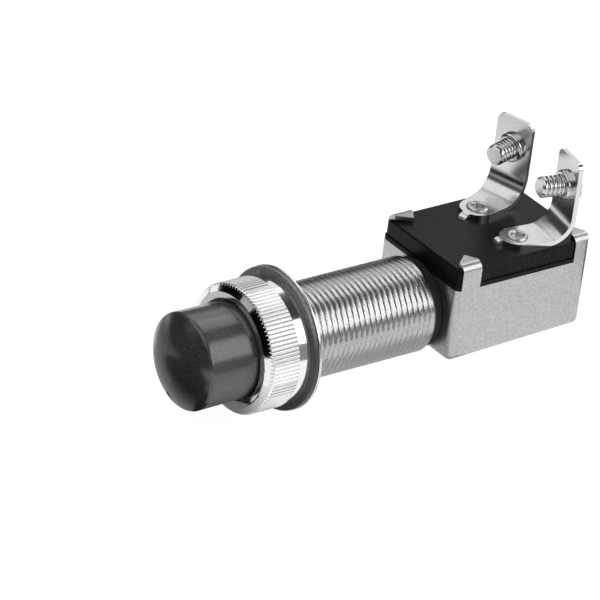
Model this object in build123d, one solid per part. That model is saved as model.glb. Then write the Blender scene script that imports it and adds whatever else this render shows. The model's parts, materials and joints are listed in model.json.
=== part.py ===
import os
from math import asin, cos, pi, sin, sqrt

from build123d import *

# Sizes in millimetres. The barrel's axis is Y, the button faces -Y, the terminals stand up along +Z,
# and the origin is on that axis at the panel seat, the rear face of the washer.

# Barrel, five eighths of an inch over the thread
barrel_diameter = 15.875
barrel_length = 25.8
barrel_front_bevel = 0.5
barrel_rear_bevel = 0.4
thread_pitch = 25.4 / 24
thread_depth = 0.15
spring_chamber_diameter = 12.4
spring_seat_depth = 9.0
spigot_diameter = 8.4
spigot_flare_width = 0.5
spigot_flare_thickness = 0.6

# Washer and gasket behind the bezel nut
washer_diameter = 23.7
washer_thickness = 0.5
washer_bore_clearance = 0.12
gasket_inset = 0.1
gasket_thickness = 0.9
gasket_edge_radius = 0.2
gasket_bore_clearance = 0.1

# Bezel nut
knurl_diameter = 21.4
knurl_tooth_depth = 0.36
knurl_teeth = 96
knurl_length = 5.3
skirt_diameter = 20.4
skirt_length = 2.1
bezel_bevel_depth = 0.8
bezel_bevel_width = 1.3
bezel_crest_width = 0.25
lip_thickness = 1.3
lip_slope_depth = 0.6
lip_gap = 0.35
nut_thread_clearance = 0.06

# Rubber boot
boot_base_diameter = 15.8
boot_shoulder_diameter = 16.1
boot_stand = 8.9
boot_dome_height = 2.8
boot_side_wall = 1.4
boot_top_wall = 1.6
boot_shoulder_fillet = 0.45
boot_flange_width = 1.15
boot_flange_thickness = 1.1
boot_flange_gap = 0.1

# Plunger and its spring
rod_diameter = 4.0
rod_running_clearance = 0.05
rod_end_diameter = 3.2
rod_end_overhang = 1.0
hub_diameter = 6.4
head_side_clearance = 0.15
head_top_clearance = 0.05
head_thickness = 3.4
button_travel = 3.5
full_press_clearance = 0.12
spring_wire = 0.9
spring_turns = 7
spring_chamber_clearance = 0.55

# Fibre ring between barrel and case
fibre_ring_thickness = 1.6
fibre_ring_inset = 0.5
fibre_ring_bore_clearance = 0.1

# Sheet-metal case, a drawn cup with its open side up
case_width = 20.2
case_length = 27.0
case_rim_height = 6.75
case_depth_front = 6.2
case_floor_rise = 0.9
case_wall = 0.8
case_corner_radius = 1.1
case_floor_radius = 1.05
case_inner_radius_min = 0.25
case_hole_clearance = 0.05

# Tabs that are folded over the board
tab_width = 3.7
front_tab_setback = 0.85
rear_tab_setback = 0.25
rear_tab_width = 2.9
tab_reach = 3.4
tab_straight_reach = 1.5
tab_point_share = 0.65
tab_bend_radius = 0.7
tab_board_gap = 0.03
tab_notch_clearance = 0.12

# Terminal board
board_flange_thickness = 0.75
board_block_height = 2.9
board_block_inset = 0.25
board_edge_radius = 0.3
board_bevel_reach_x = 5.2
board_bevel_reach_y = 4.8
board_bevel_drop = 0.5

# Contact rivets
rivet_side_inset = 4.8
rivet_setback = 15.2
rivet_shank_diameter = 3.0
rivet_hole_clearance = 0.05
rivet_bore_diameter = 2.0
rivet_bore_depth = 2.4
rivet_flare_diameter = 3.6
rivet_flare_height = 0.4
rivet_head_diameter = 4.4
rivet_head_thickness = 0.6
rivet_head_clearance = 0.1

# Screw terminals
terminal_sheet = 0.8
terminal_yaw_left = 15.0
terminal_yaw_right = -11.0
terminal_foot_length = 7.6
terminal_foot_end_radius = 2.9
terminal_bend_radius = 4.0
terminal_width = 7.0
terminal_leaf_height = 13.65
terminal_corner_radius = 1.1
tongue_reach = 4.2
tongue_width = 1.4
tongue_depth = 1.1
tongue_bend_radius = 0.4
tongue_slot_clearance = 0.1
collar_diameter = 4.9
collar_height = 1.0
collar_edge_radius = 0.45

# Terminal screws, number six
terminal_screw_diameter = 3.5
screw_thread_pitch = 25.4 / 32
screw_thread_depth = 0.3
terminal_screw_height = 8.55
terminal_screw_stand = 4.9
terminal_screw_tip_bevel = 0.35
terminal_screw_hole_clearance = 0.04
terminal_screw_head_diameter = 5.8
terminal_screw_head_height = 0.95
terminal_screw_slot_width = 0.9
terminal_screw_slot_depth = 0.5

# Sliding contact inside the case
stop_washer_diameter = 9.0
stop_washer_thickness = 1.0
stop_washer_clearance = 0.1
rest_clearance = 0.1
carrier_side_clearance = 0.3
carrier_floor_clearance = 0.4
carrier_end_wall = 2.4
carrier_bore_clearance = 0.04
bridge_overhang = 1.6
bridge_width = 4.6
bridge_thickness = 0.8
bridge_slot_clearance = 0.1
bridge_proud = 0.4
bridge_slide_gap = 0.1
bridge_float = 0.4
contact_gap = 1.5
contact_spring_diameter = 4.6
contact_spring_wire = 0.4
contact_spring_turns = 3
contact_spring_floor = 0.9
contact_pocket_clearance = 0.2
clip_diameter = 6.6
clip_thickness = 0.6
clip_groove_depth = 0.35
clip_groove_clearance = 0.05
clip_mouth_share = 0.8

# Radii and places that follow from the sizes above
barrel_radius = barrel_diameter / 2
rod_radius = rod_diameter / 2
rod_end_radius = rod_end_diameter / 2
spigot_radius = spigot_diameter / 2

gasket_radius = washer_diameter / 2 - gasket_inset
gasket_rear = -washer_thickness
gasket_front = gasket_rear - gasket_thickness
knurl_rear = gasket_front - skirt_length
knurl_front = knurl_rear - knurl_length
bezel_front = knurl_front - bezel_bevel_depth
lip_rear = bezel_front + lip_thickness
barrel_front = lip_rear + boot_flange_thickness

boot_base_radius = boot_base_diameter / 2
boot_shoulder_radius = boot_shoulder_diameter / 2
boot_shoulder_y = bezel_front - boot_stand
boot_apex = boot_shoulder_y - boot_dome_height
dome_radius = (boot_shoulder_radius**2 + boot_dome_height**2) / (2 * boot_dome_height)
dome_centre = boot_apex + dome_radius
boot_bore_radius = boot_base_radius - boot_side_wall
boot_flange_radius = boot_base_radius + boot_flange_width

head_radius = boot_bore_radius - head_side_clearance
head_dome_radius = dome_radius - boot_top_wall - head_top_clearance
head_rear = dome_centre - sqrt(head_dome_radius**2 - head_radius**2) + head_thickness
hub_rear = spring_seat_depth - button_travel - full_press_clearance
spring_coil_radius = spring_chamber_diameter / 2 - spring_chamber_clearance - spring_wire / 2

case_front = barrel_length + fibre_ring_thickness
case_rear = case_front + case_length
case_bottom_front = -case_depth_front
case_bottom_rear = case_bottom_front + case_floor_rise
case_centre_y = (case_front + case_rear) / 2
flare_rear = case_front + case_wall + spigot_flare_thickness

board_flange_top = case_rim_height + board_flange_thickness
board_top = board_flange_top + board_block_height
rivet_x = case_width / 2 - rivet_side_inset
rivet_y = case_front + rivet_setback
foot_top = board_top + terminal_sheet

carrier_front = flare_rear + rest_clearance + stop_washer_thickness
bridge_top = case_rim_height - bridge_slide_gap
bridge_bottom = bridge_top - bridge_thickness
bridge_rear = rivet_y - rivet_head_diameter / 2 - contact_gap
bridge_front = bridge_rear - bridge_width
carrier_rear = bridge_rear + carrier_end_wall
carrier_top = bridge_top - bridge_proud
carrier_bottom = case_bottom_rear + case_wall + carrier_floor_clearance
carrier_half_width = case_width / 2 - case_wall - carrier_side_clearance
contact_spring_bottom = rod_end_radius + carrier_bore_clearance + contact_spring_floor
clip_front = carrier_rear + clip_groove_clearance
clip_rear = clip_front + clip_thickness


def turned(points):
    """Solid turned about the barrel's axis from (radius, y) points."""
    return revolve(make_face(Polyline(*points, close=True)), Axis.Y)


def ring(inner, outer, rear, front):
    """Plain ring about the barrel's axis."""
    return turned([(inner, rear), (outer, rear), (outer, front), (inner, front)])


def upright_ring(inner, outer, bottom, top):
    """Plain ring about +Z at the origin."""
    return revolve(
        Plane.XZ * make_face(Polyline((inner, bottom), (outer, bottom), (outer, top), (inner, top), close=True)),
        Axis.Z,
    )


def coil(mean_radius, wire, turns, height):
    """Coil spring standing on z = 0, its wire inside that height."""
    path = Helix(pitch=(height - wire) / turns, height=height - wire, radius=mean_radius)
    section = Plane(origin=path @ 0, z_dir=path % 0) * Circle(wire / 2)
    return Pos(0, 0, wire / 2) * sweep(section, path=path, is_frenet=True)


def case_outline(inset):
    """Rounded outline of the case seen from above."""
    size = (case_width - 2 * inset, case_length - 2 * inset)
    return Pos(0, case_centre_y) * RectangleRounded(*size, case_corner_radius - inset)


def tab_spans():
    """Front and rear limits of the tabs along the case."""
    front = case_front + front_tab_setback
    rear = case_rear - rear_tab_setback
    return [(front, front + tab_width), (rear - rear_tab_width, rear)]


def make_barrel():
    flare_radius = spigot_radius + spigot_flare_width
    bore_radius = rod_radius + rod_running_clearance
    chamber_radius = spring_chamber_diameter / 2
    thread_front = barrel_front + barrel_front_bevel
    thread_rear = barrel_length - barrel_rear_bevel
    return turned([
        (chamber_radius, barrel_front),
        (barrel_radius - barrel_front_bevel, barrel_front),
        *thread_points(barrel_radius, thread_depth, thread_pitch, thread_front, thread_rear),
        (barrel_radius - barrel_rear_bevel, barrel_length),
        (spigot_radius, barrel_length),
        (spigot_radius, case_front + case_wall),
        (flare_radius, case_front + case_wall),
        (flare_radius, flare_rear),
        (bore_radius, flare_rear),
        (bore_radius, spring_seat_depth),
        (chamber_radius, spring_seat_depth),
    ])


def thread_points(radius, depth, pitch, start, end):
    """Crests and roots of a thread, turned as rings of its pitch."""
    points = []
    for turn in range(int((end - start) / pitch)):
        crest = start + turn * pitch
        points.append((radius, crest))
        points.append((radius - depth, crest + pitch / 2))
    return points + [(radius, crest + pitch), (radius, end)]


def make_bezel_nut():
    crest_radius = knurl_diameter / 2
    skirt_radius = skirt_diameter / 2
    thread_radius = barrel_radius + nut_thread_clearance
    flange_room = boot_flange_radius + boot_flange_gap
    lip_radius = boot_base_radius + lip_gap
    rim_outer = crest_radius - bezel_bevel_width
    body = turned([
        (thread_radius, gasket_front),
        (skirt_radius, gasket_front),
        (skirt_radius, knurl_rear),
        (crest_radius, knurl_rear),
        (crest_radius, knurl_front),
        (rim_outer, bezel_front),
        (rim_outer - bezel_crest_width, bezel_front),
        (lip_radius, bezel_front + lip_slope_depth),
        (lip_radius, lip_rear),
        (flange_room, lip_rear),
        (flange_room, barrel_front),
        (thread_radius, barrel_front),
    ])
    return body - knurl_grooves(crest_radius)


def knurl_grooves(crest_radius):
    """Everything between the straight teeth, as one cutter."""
    points = []
    for step in range(2 * knurl_teeth):
        radius = crest_radius - knurl_tooth_depth * (step % 2)
        angle = pi * step / knurl_teeth
        points.append((radius * cos(angle), radius * sin(angle)))
    toothed = make_face(Polyline(*points, close=True))
    blank = Circle(crest_radius + knurl_tooth_depth)
    plane = Plane(origin=(0, knurl_rear, 0), z_dir=(0, -1, 0))
    return extrude(plane * (blank - toothed), knurl_length + bezel_bevel_depth)


def dome_arc(radius, rim_radius):
    """Half profile of a dome about the boot's dome centre, from the axis to its rim."""
    half_angle = asin(rim_radius / radius) / 2
    crown = (0, dome_centre - radius)
    middle = (radius * sin(half_angle), dome_centre - radius * cos(half_angle))
    rim = (rim_radius, dome_centre - sqrt(radius**2 - rim_radius**2))
    return ThreePointArc(crown, middle, rim)


def make_boot():
    outside = dome_arc(dome_radius, boot_shoulder_radius)
    inside = dome_arc(dome_radius - boot_top_wall, boot_bore_radius)
    side = Polyline(
        outside @ 1,
        (boot_base_radius, lip_rear),
        (boot_flange_radius, lip_rear),
        (boot_flange_radius, barrel_front),
        (boot_bore_radius, barrel_front),
        inside @ 1,
    )
    boot = revolve(make_face([outside, side, inside, Line(inside @ 0, outside @ 0)]), Axis.Y)
    shoulder = boot.edges().filter_by(GeomType.CIRCLE).filter_by_position(
        Axis.Y, boot_shoulder_y - boot_shoulder_fillet / 2, boot_shoulder_y + boot_shoulder_fillet / 2
    )
    return fillet(shoulder, boot_shoulder_fillet)


def make_plunger():
    groove_rear = clip_rear + clip_groove_clearance
    groove_radius = rod_end_radius - clip_groove_depth
    rod_tail = groove_rear + rod_end_overhang
    dome = dome_arc(head_dome_radius, head_radius)
    side = Polyline(
        dome @ 1,
        (head_radius, head_rear),
        (hub_diameter / 2, head_rear),
        (hub_diameter / 2, hub_rear),
        (rod_radius, hub_rear),
        (rod_radius, carrier_front),
        (rod_end_radius, carrier_front),
        (rod_end_radius, carrier_rear),
        (groove_radius, carrier_rear),
        (groove_radius, groove_rear),
        (rod_end_radius, groove_rear),
        (rod_end_radius, rod_tail),
        (0, rod_tail),
    )
    return revolve(make_face([dome, side, Line(side @ 1, dome @ 0)]), Axis.Y)


def make_return_spring():
    seat = Plane(origin=(0, head_rear, 0), z_dir=(0, 1, 0))
    return seat * coil(spring_coil_radius, spring_wire, spring_turns, spring_seat_depth - head_rear)


def case_form(inset, top):
    """Block in the shape of the case, drawn in by an inset, up to a given height."""
    side = make_face(Polyline(
        (case_front + inset, top),
        (case_front + inset, case_bottom_front + inset),
        (case_rear - inset, case_bottom_rear + inset),
        (case_rear - inset, top),
        close=True,
    ))
    block = extrude(Plane.YZ * side, case_width / 2 - inset, both=True)
    block = fillet(block.edges().filter_by(Axis.Z), drawn_radius(case_corner_radius, inset))
    floor = block.faces().sort_by(Axis.Z)[0]
    return fillet(floor.edges(), drawn_radius(case_floor_radius, inset))


def drawn_radius(radius, inset):
    """Radius of a drawn corner on the inside of the sheet."""
    return max(radius - inset, case_inner_radius_min)


def make_tab(front, rear):
    """Tab on the +X wall: up beside the board, over its edge and out to a point."""
    outer = case_width / 2
    middle_x = outer - case_wall / 2
    middle_z = board_top + tab_board_gap + case_wall / 2
    path = FilletPolyline(
        (middle_x, case_rim_height - case_wall),
        (middle_x, middle_z),
        (outer - tab_reach, middle_z),
        radius=tab_bend_radius + case_wall / 2,
    )
    plane = Plane(origin=(0, rear, 0), x_dir=(1, 0, 0), z_dir=(0, -1, 0))
    strip = extrude(plane * trace(path, line_width=case_wall), rear - front)
    shoulder = outer - tab_straight_reach
    flat_shape = make_face(Polyline(
        (outer + case_wall, front),
        (outer + case_wall, rear),
        (shoulder, rear),
        (outer - tab_reach, front + tab_point_share * (rear - front)),
        (shoulder, front),
        close=True,
    ))
    strip &= extrude(flat_shape, board_top + tab_reach)
    return strip & extrude(case_outline(0), board_top + tab_reach)


def make_case():
    cup = case_form(0, case_rim_height) - case_form(case_wall, board_top)
    for front, rear in tab_spans():
        tab = make_tab(front, rear)
        cup += tab
        cup += mirror(tab, Plane.YZ)
    hole = spigot_radius + case_hole_clearance
    return cup - ring(0, hole, case_front + 2 * case_wall, case_front - case_wall)


def terminal_place(side, yaw):
    """Where a terminal's rivet stands on the board, and which way the terminal is turned."""
    return Pos(side * rivet_x, rivet_y, board_top) * Rot(0, 0, yaw)


def make_board():
    flange = extrude(Pos(0, 0, case_rim_height) * case_outline(0), board_flange_thickness)
    block = extrude(Pos(0, 0, board_flange_top) * case_outline(board_block_inset), board_block_height)
    block = fillet(block.faces().sort_by(Axis.Z)[-1].edges(), board_edge_radius)
    board = flange + block
    board -= board_notches()
    board -= board_corner_bevel()
    shank_hole = rivet_shank_diameter / 2 + rivet_hole_clearance
    head_hole = rivet_head_diameter / 2 + rivet_head_clearance
    for side, yaw in ((-1, terminal_yaw_left), (1, terminal_yaw_right)):
        axis = Pos(side * rivet_x, rivet_y, 0)
        board -= axis * upright_ring(0, shank_hole, case_rim_height, foot_top)
        board -= axis * upright_ring(0, head_hole, case_rim_height, case_rim_height + rivet_head_thickness)
        board -= terminal_place(side, yaw) * tongue_slot()
    return board


def board_notches():
    """Gaps in the board's long edges where the tabs come up."""
    depth = case_wall + tab_bend_radius
    (front, front_end), (rear, _) = tab_spans()
    notches = []
    for start, end in ((front, front_end + tab_notch_clearance), (rear, case_rear)):
        length = end - start + tab_notch_clearance
        for side in (-1, 1):
            notch = Box(2 * depth, length, board_top, align=(Align.CENTER, Align.MIN, Align.MIN))
            notches.append(Pos(side * case_width / 2, start - tab_notch_clearance, case_rim_height) * notch)
    return notches


def board_corner_bevel():
    """Shallow slope on the board's front corner beside the left tab."""
    corner_x = -case_width / 2
    inner = Vector(corner_x, case_front + board_bevel_reach_y, board_top)
    across = Vector(corner_x + board_bevel_reach_x, case_front, board_top)
    low = Vector(corner_x, case_front, board_top - board_bevel_drop)
    slope = Plane(origin=inner, z_dir=(low - inner).cross(across - inner))
    size = 2 * (board_bevel_reach_x + board_bevel_reach_y)
    return slope * Box(size, size, board_block_height, align=(Align.CENTER, Align.CENTER, Align.MIN))


def tongue_slot():
    """Slot under a terminal's tongue, in the terminal's own frame."""
    width = tongue_width + 2 * tongue_slot_clearance
    length = terminal_sheet + tongue_bend_radius + 2 * tongue_slot_clearance
    depth = tongue_depth + tongue_slot_clearance
    slot = Box(width, length, 2 * depth, align=(Align.CENTER, Align.MIN, Align.CENTER))
    return Pos(0, -tongue_reach - tongue_slot_clearance, 0) * slot


def make_rivet(side):
    shank = rivet_shank_diameter / 2
    flare = rivet_flare_diameter / 2
    head = rivet_head_diameter / 2
    bore = rivet_bore_diameter / 2
    flare_top = foot_top + rivet_flare_height
    profile = make_face(Polyline(
        (0, case_rim_height),
        (head, case_rim_height),
        (head, case_rim_height + rivet_head_thickness),
        (shank, case_rim_height + rivet_head_thickness),
        (shank, foot_top),
        (flare, foot_top),
        (flare, foot_top + rivet_flare_height / 2),
        (shank, flare_top),
        (bore, foot_top + rivet_flare_height / 2),
        (bore, flare_top - rivet_bore_depth),
        (0, flare_top - rivet_bore_depth),
        close=True,
    ))
    return Pos(side * rivet_x, rivet_y, 0) * revolve(Plane.XZ * profile, Axis.Z)


def leaf_plane():
    """Plane at the screw's axis on the middle of a terminal's leaf, facing the button."""
    origin = (0, terminal_foot_length + terminal_sheet / 2, terminal_sheet + terminal_screw_height)
    return Plane(origin=origin, x_dir=(1, 0, 0), z_dir=(0, -1, 0))


def make_terminal(side, yaw):
    half_sheet = terminal_sheet / 2
    middle = terminal_foot_length + half_sheet
    back = terminal_foot_length + terminal_sheet
    top = terminal_sheet + terminal_leaf_height
    path = FilletPolyline(
        (half_sheet - tongue_reach, -tongue_depth),
        (half_sheet - tongue_reach, half_sheet),
        (middle, half_sheet),
        (middle, top),
        radius=[tongue_bend_radius + half_sheet, terminal_bend_radius + half_sheet],
    )
    sheet = extrude(Plane.YZ * trace(path, line_width=terminal_sheet), terminal_width, both=True)
    sheet &= extrude(foot_outline(back), top + tongue_depth, both=True)
    corners = sheet.edges().filter_by(Axis.Y).sort_by(Axis.Z)[-2:]
    sheet = fillet(corners, terminal_corner_radius)
    sheet += leaf_plane() * make_collar()
    hole = terminal_screw_diameter / 2 + terminal_screw_hole_clearance
    sheet -= leaf_plane() * upright_ring(0, hole, -terminal_sheet, terminal_sheet + collar_height)
    rivet_hole = rivet_shank_diameter / 2 + rivet_hole_clearance
    sheet -= upright_ring(0, rivet_hole, -terminal_sheet, 2 * terminal_sheet)
    return terminal_place(side, yaw) * sheet


def make_collar():
    """Collar drawn up round the screw's hole, with a rounded rim."""
    collar = Cylinder(
        collar_diameter / 2, terminal_sheet / 2 + collar_height, align=(Align.CENTER, Align.CENTER, Align.MIN)
    )
    return fillet(collar.faces().sort_by(Axis.Z)[-1].edges(), collar_edge_radius)


def foot_outline(back):
    """Terminal seen from above: tongue, rounded foot and room for the leaf."""
    bend = Line((-terminal_width / 2, terminal_foot_length), (terminal_width / 2, terminal_foot_length))
    foot = make_hull(Circle(terminal_foot_end_radius).edges() + [bend])
    tongue = Pos(0, -tongue_reach) * Rectangle(tongue_width, tongue_reach, align=(Align.CENTER, Align.MIN))
    leaf = Pos(0, terminal_foot_length) * Rectangle(
        terminal_width, back - terminal_foot_length, align=(Align.CENTER, Align.MIN)
    )
    return foot + tongue + leaf


def make_terminal_screw(side, yaw):
    radius = terminal_screw_diameter / 2
    front = terminal_sheet / 2 + terminal_screw_stand
    seat = -terminal_sheet / 2
    rear = seat - terminal_screw_head_height
    head = terminal_screw_head_diameter / 2
    thread_start = terminal_sheet / 2 + collar_height
    thread_end = front - terminal_screw_tip_bevel
    profile = make_face(Polyline(
        (0, rear),
        (head, rear),
        (head, seat),
        (radius, seat),
        *thread_points(radius, screw_thread_depth, screw_thread_pitch, thread_start, thread_end),
        (radius - terminal_screw_tip_bevel, front),
        (0, front),
        close=True,
    ))
    screw = revolve(Plane.XZ * profile, Axis.Z)
    slot = Box(2 * head, terminal_screw_slot_width, 2 * terminal_screw_slot_depth)
    screw -= Pos(0, 0, rear) * slot
    return terminal_place(side, yaw) * (leaf_plane() * screw)


def make_carrier():
    low = (Align.CENTER, Align.MIN, Align.MIN)
    width = 2 * carrier_half_width
    body = Box(width, carrier_rear - carrier_front, carrier_top - carrier_bottom, align=low)
    body = Pos(0, carrier_front, carrier_bottom) * body
    slot_length = bridge_width + 2 * bridge_slot_clearance
    slot_floor = bridge_bottom - bridge_float
    slot = Box(width, slot_length, carrier_top - slot_floor, align=low)
    body -= Pos(0, bridge_front - bridge_slot_clearance, slot_floor) * slot
    pocket = contact_spring_diameter / 2 + contact_pocket_clearance
    middle = Pos(0, (bridge_front + bridge_rear) / 2, 0)
    body -= middle * upright_ring(0, pocket, contact_spring_bottom, carrier_top)
    return body - ring(0, rod_end_radius + carrier_bore_clearance, carrier_rear, carrier_front)


def make_bridge():
    length = 2 * (rivet_x + bridge_overhang)
    plate = Box(length, bridge_width, bridge_thickness, align=(Align.CENTER, Align.MIN, Align.MIN))
    return Pos(0, bridge_front, bridge_bottom) * plate


def make_contact_spring():
    mean_radius = (contact_spring_diameter - contact_spring_wire) / 2
    height = bridge_bottom - contact_spring_bottom
    place = Pos(0, (bridge_front + bridge_rear) / 2, contact_spring_bottom)
    return place * coil(mean_radius, contact_spring_wire, contact_spring_turns, height)


def make_retaining_clip():
    inner = rod_end_radius - clip_groove_depth + clip_groove_clearance
    clip = ring(inner, clip_diameter / 2, clip_rear, clip_front)
    mouth = Box(
        2 * inner * clip_mouth_share, clip_diameter, clip_diameter,
        align=(Align.CENTER, Align.CENTER, Align.MAX),
    )
    return clip - Pos(0, clip_front, 0) * mouth


nodes = {
    "threaded_barrel": make_barrel(),
    "bezel_nut": make_bezel_nut(),
    "panel_gasket": fillet(
        ring(barrel_radius + gasket_bore_clearance, gasket_radius, gasket_rear, gasket_front)
        .faces().filter_by(GeomType.CYLINDER).sort_by(SortBy.AREA)[-1].edges().filter_by(GeomType.CIRCLE),
        gasket_edge_radius,
    ),
    "panel_washer": ring(barrel_radius + washer_bore_clearance, washer_diameter / 2, 0, gasket_rear),
    "barrel_washer": ring(
        spigot_radius + fibre_ring_bore_clearance, barrel_radius - fibre_ring_inset, case_front, barrel_length
    ),
    "switch_case": make_case(),
    "terminal_board": make_board(),
    "contact_rivet_left": make_rivet(-1),
    "contact_rivet_right": make_rivet(1),
    "terminal_left": make_terminal(-1, terminal_yaw_left),
    "terminal_right": make_terminal(1, terminal_yaw_right),
    "terminal_screw_left": make_terminal_screw(-1, terminal_yaw_left),
    "terminal_screw_right": make_terminal_screw(1, terminal_yaw_right),
    "rubber_boot": make_boot(),
    "plunger": make_plunger(),
    "return_spring": make_return_spring(),
    "stop_washer": ring(
        rod_radius + stop_washer_clearance, stop_washer_diameter / 2,
        carrier_front, carrier_front - stop_washer_thickness,
    ),
    "contact_carrier": make_carrier(),
    "contact_bridge": make_bridge(),
    "contact_spring": make_contact_spring(),
    "retaining_clip": make_retaining_clip(),
}

os.makedirs("parts", exist_ok=True)
for name, solid in nodes.items():
    export_step(solid, f"parts/{name}.step")
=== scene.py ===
"""Looks of a panel-mount push button switch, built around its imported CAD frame."""

import json
from math import atan2, cos, pi, radians, sin, tan

import bmesh
import bpy
from mathutils import Matrix, Vector


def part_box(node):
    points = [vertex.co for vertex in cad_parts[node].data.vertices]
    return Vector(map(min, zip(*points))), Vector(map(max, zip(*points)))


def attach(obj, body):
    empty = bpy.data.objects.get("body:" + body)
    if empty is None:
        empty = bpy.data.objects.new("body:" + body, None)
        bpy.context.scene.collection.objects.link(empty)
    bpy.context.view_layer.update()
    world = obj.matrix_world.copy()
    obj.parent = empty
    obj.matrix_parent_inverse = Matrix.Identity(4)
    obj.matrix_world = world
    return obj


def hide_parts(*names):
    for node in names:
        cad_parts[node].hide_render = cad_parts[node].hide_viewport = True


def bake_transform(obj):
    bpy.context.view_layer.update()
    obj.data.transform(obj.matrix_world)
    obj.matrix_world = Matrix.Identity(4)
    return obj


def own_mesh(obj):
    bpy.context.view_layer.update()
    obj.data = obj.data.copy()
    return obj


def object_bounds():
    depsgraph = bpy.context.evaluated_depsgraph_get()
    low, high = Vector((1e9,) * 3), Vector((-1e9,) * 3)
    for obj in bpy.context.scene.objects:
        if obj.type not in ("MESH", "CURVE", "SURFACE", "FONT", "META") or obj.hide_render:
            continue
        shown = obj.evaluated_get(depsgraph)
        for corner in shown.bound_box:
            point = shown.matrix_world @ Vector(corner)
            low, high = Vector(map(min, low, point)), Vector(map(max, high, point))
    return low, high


bl_info = {
    "name": "Push Button Switch",
    "version": (1, 0, 0),
    "blender": (4, 5, 0),
    "location": "View3D > Sidebar > Switch",
    "description": "Dresses the switch's frame with threads, rubber, plated metal and a small studio",
    "category": "Object",
}

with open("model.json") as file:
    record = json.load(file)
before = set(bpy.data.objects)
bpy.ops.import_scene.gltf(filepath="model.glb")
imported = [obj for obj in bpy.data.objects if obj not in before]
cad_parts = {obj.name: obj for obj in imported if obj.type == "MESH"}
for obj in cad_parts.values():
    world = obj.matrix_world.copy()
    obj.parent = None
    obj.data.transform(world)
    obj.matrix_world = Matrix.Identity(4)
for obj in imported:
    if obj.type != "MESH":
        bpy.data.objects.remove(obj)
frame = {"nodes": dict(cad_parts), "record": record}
cad_low, cad_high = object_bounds()

MM = 0.001
INCH = 0.0254
TURN = 2 * pi
ROOT = "switch_body"
BUTTON = "button"

# Points nearer than this count as one
CLOSE = 0.01 * MM


# Properties

def length(name, description, default):
    """Length property in metres."""
    return bpy.props.FloatProperty(
        name=name, description=description, default=default, unit="LENGTH", precision=5
    )


def angle(name, description, degrees):
    """Angle property, given in degrees."""
    return bpy.props.FloatProperty(
        name=name, description=description, default=radians(degrees), subtype="ANGLE"
    )


def number(name, description, default):
    """Plain number property."""
    return bpy.props.FloatProperty(
        name=name, description=description, default=default, min=0, precision=3
    )


def colour(name, description, *rgb):
    """Colour property."""
    return bpy.props.FloatVectorProperty(
        name=name, description=description, default=rgb, subtype="COLOR", size=3, min=0, max=1
    )


class SwitchSizes(bpy.types.PropertyGroup):
    """Sizes of the forms that are finer than the frame's solids."""

    barrel_pitch: length("Barrel pitch", "Pitch of the barrel's fine thread", INCH / 24)
    barrel_thread_depth: length("Barrel thread depth", "Crest to root of the barrel's thread", 0.15 * MM)
    screw_pitch: length("Screw pitch", "Pitch of the terminal screws' thread", INCH / 32)
    screw_thread_depth: length("Screw thread depth", "Crest to root of the terminal screws' thread", 0.3 * MM)
    screw_head_height: length("Screw head height", "Seat to top of the terminal screws' heads", 0.95 * MM)
    screw_slot_width: length("Screw slot width", "Width of the slots in the terminal screws", 0.9 * MM)
    knurl_teeth: bpy.props.IntProperty(
        name="Knurl teeth", description="Straight teeth round the bezel nut", default=96, min=12
    )
    knurl_depth: length("Knurl depth", "Crest to root of the teeth behind their front ends", 0.12 * MM)
    turned_edge: length("Turned edge", "Rounding of turned edges", 0.1 * MM)
    stamped_edge: length("Stamped edge", "Rounding of stamped edges", 0.07 * MM)
    moulded_edge: length("Moulded edge", "Rounding of the terminal board's edges", 0.18 * MM)
    boot_side_wall: length("Boot side wall", "Thickness of the boot's side", 1.4 * MM)
    boot_top_wall: length("Boot top wall", "Thickness of the boot's dome", 1.6 * MM)
    boot_flange_width: length("Boot flange width", "Reach of the boot's flange beyond its side", 1.15 * MM)
    boot_flange_thickness: length("Boot flange thickness", "Thickness of the boot's flange", 1.1 * MM)
    boot_flare: length("Boot flare", "Growth of the boot's radius from its base to its shoulder", 0.15 * MM)
    boot_dome_height: length("Boot dome height", "Height of the dome above the boot's shoulder", 2.8 * MM)
    boot_shoulder_radius: length("Boot shoulder", "Rounding between the boot's side and its dome", 0.45 * MM)


class SwitchColours(bpy.types.PropertyGroup):
    """Colours of the finishes."""

    chrome: colour("Chrome", "Bright plate on the bezel nut", 0.8, 0.8, 0.8)
    barrel: colour("Barrel plate", "Dull plate on the barrel", 0.44, 0.44, 0.44)
    nickel: colour("Nickel", "Bright plate on washer, terminals and rivets", 0.68, 0.68, 0.68)
    screw: colour("Screw plate", "Plate on the terminal screws", 0.62, 0.62, 0.62)
    zinc: colour("Zinc", "Satin plate on the sheet-metal case", 0.455, 0.455, 0.46)
    boot: colour("Boot rubber", "Dark rubber of the boot", 0.085, 0.085, 0.085)
    gasket: colour("Gasket rubber", "Dark rubber of the gasket", 0.075, 0.075, 0.075)
    moulding: colour("Moulding", "Black moulding of the terminal board", 0.008, 0.008, 0.008)
    fibre: colour("Fibre", "Dark pressed fibre of the inner washers and the carrier", 0.02, 0.02, 0.02)
    brass: colour("Brass", "Turned brass of the plunger and contact", 0.62, 0.5, 0.27)
    steel: colour("Steel", "Plain steel of springs and clip", 0.42, 0.42, 0.43)


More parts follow.
